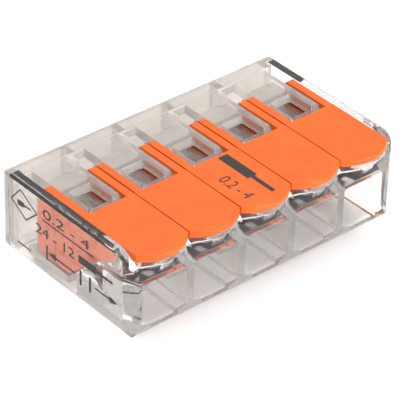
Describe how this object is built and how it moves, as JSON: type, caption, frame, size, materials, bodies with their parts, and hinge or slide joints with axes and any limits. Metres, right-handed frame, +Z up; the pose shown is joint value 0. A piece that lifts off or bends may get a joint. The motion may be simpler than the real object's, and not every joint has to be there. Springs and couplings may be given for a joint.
{
  "type": "lever wire connector",
  "caption": "Clear splicing connector with a row of orange levers that open spring clamps over one common busbar.",
  "frame": {"origin": "middle of the underside, halfway between the lever tips and the rear face", "axes": "+X across the row of poles, +Y towards the rear cover, +Z up through the levers; wires enter from -Y"},
  "size_m": [0.03, 0.0186, 0.0084],
  "materials": {
    "clear_housing": "clear moulded polycarbonate, polished",
    "orange_lever": "moulded polyamide, satin",
    "tinned_busbar": "tin-plated copper, stamped",
    "spring_steel": "stainless spring strip, bent",
    "black_print": "black pad-printed marks"
  },
  "bodies": {
    "root": {"housing_body": "clear_housing", "rear_cover": "clear_housing", "busbar": "tinned_busbar", "clamp_spring_1": "spring_steel", "clamp_spring_2": "spring_steel", "clamp_spring_3": "spring_steel", "clamp_spring_4": "spring_steel", "clamp_spring_5": "spring_steel"},
    "lever_body_1": {"lever_1": "orange_lever"},
    "lever_body_2": {"lever_2": "orange_lever"},
    "lever_body_3": {"lever_3": "orange_lever"},
    "lever_body_4": {"lever_4": "orange_lever"},
    "lever_body_5": {"lever_5": "orange_lever"},
    "leg_body_1": {"spring_leg_1": "spring_steel"},
    "leg_body_2": {"spring_leg_2": "spring_steel"},
    "leg_body_3": {"spring_leg_3": "spring_steel"},
    "leg_body_4": {"spring_leg_4": "spring_steel"},
    "leg_body_5": {"spring_leg_5": "spring_steel"}
  },
  "joints": [
    {"name": "lever_swing_1", "type": "hinge", "parent": "root", "child": "lever_body_1", "pos_m": [-0.0112, 0.0026, 0.0046], "axis": [-1, 0, 0], "range_deg": [0, 90]},
    {"name": "lever_swing_2", "type": "hinge", "parent": "root", "child": "lever_body_2", "pos_m": [-0.0056, 0.0026, 0.0046], "axis": [-1, 0, 0], "range_deg": [0, 90]},
    {"name": "lever_swing_3", "type": "hinge", "parent": "root", "child": "lever_body_3", "pos_m": [0, 0.0026, 0.0046], "axis": [-1, 0, 0], "range_deg": [0, 90]},
    {"name": "lever_swing_4", "type": "hinge", "parent": "root", "child": "lever_body_4", "pos_m": [0.0056, 0.0026, 0.0046], "axis": [-1, 0, 0], "range_deg": [0, 90]},
    {"name": "lever_swing_5", "type": "hinge", "parent": "root", "child": "lever_body_5", "pos_m": [0.0112, 0.0026, 0.0046], "axis": [-1, 0, 0], "range_deg": [0, 90]},
    {"name": "clamp_lift_1", "type": "hinge", "parent": "root", "child": "leg_body_1", "pos_m": [-0.0112, -0.0012, 0.00575], "axis": [1, 0, 0], "range_deg": [0, 30]},
    {"name": "clamp_lift_2", "type": "hinge", "parent": "root", "child": "leg_body_2", "pos_m": [-0.0056, -0.0012, 0.00575], "axis": [1, 0, 0], "range_deg": [0, 30]},
    {"name": "clamp_lift_3", "type": "hinge", "parent": "root", "child": "leg_body_3", "pos_m": [0, -0.0012, 0.00575], "axis": [1, 0, 0], "range_deg": [0, 30]},
    {"name": "clamp_lift_4", "type": "hinge", "parent": "root", "child": "leg_body_4", "pos_m": [0.0056, -0.0012, 0.00575], "axis": [1, 0, 0], "range_deg": [0, 30]},
    {"name": "clamp_lift_5", "type": "hinge", "parent": "root", "child": "leg_body_5", "pos_m": [0.0112, -0.0012, 0.00575], "axis": [1, 0, 0], "range_deg": [0, 30]}
  ],
  "couplings": [
    {"joint": "clamp_lift_1", "follows": "lever_swing_1", "ratio": 0.33333},
    {"joint": "clamp_lift_2", "follows": "lever_swing_2", "ratio": 0.33333},
    {"joint": "clamp_lift_3", "follows": "lever_swing_3", "ratio": 0.33333},
    {"joint": "clamp_lift_4", "follows": "lever_swing_4", "ratio": 0.33333},
    {"joint": "clamp_lift_5", "follows": "lever_swing_5", "ratio": 0.33333}
  ]
}
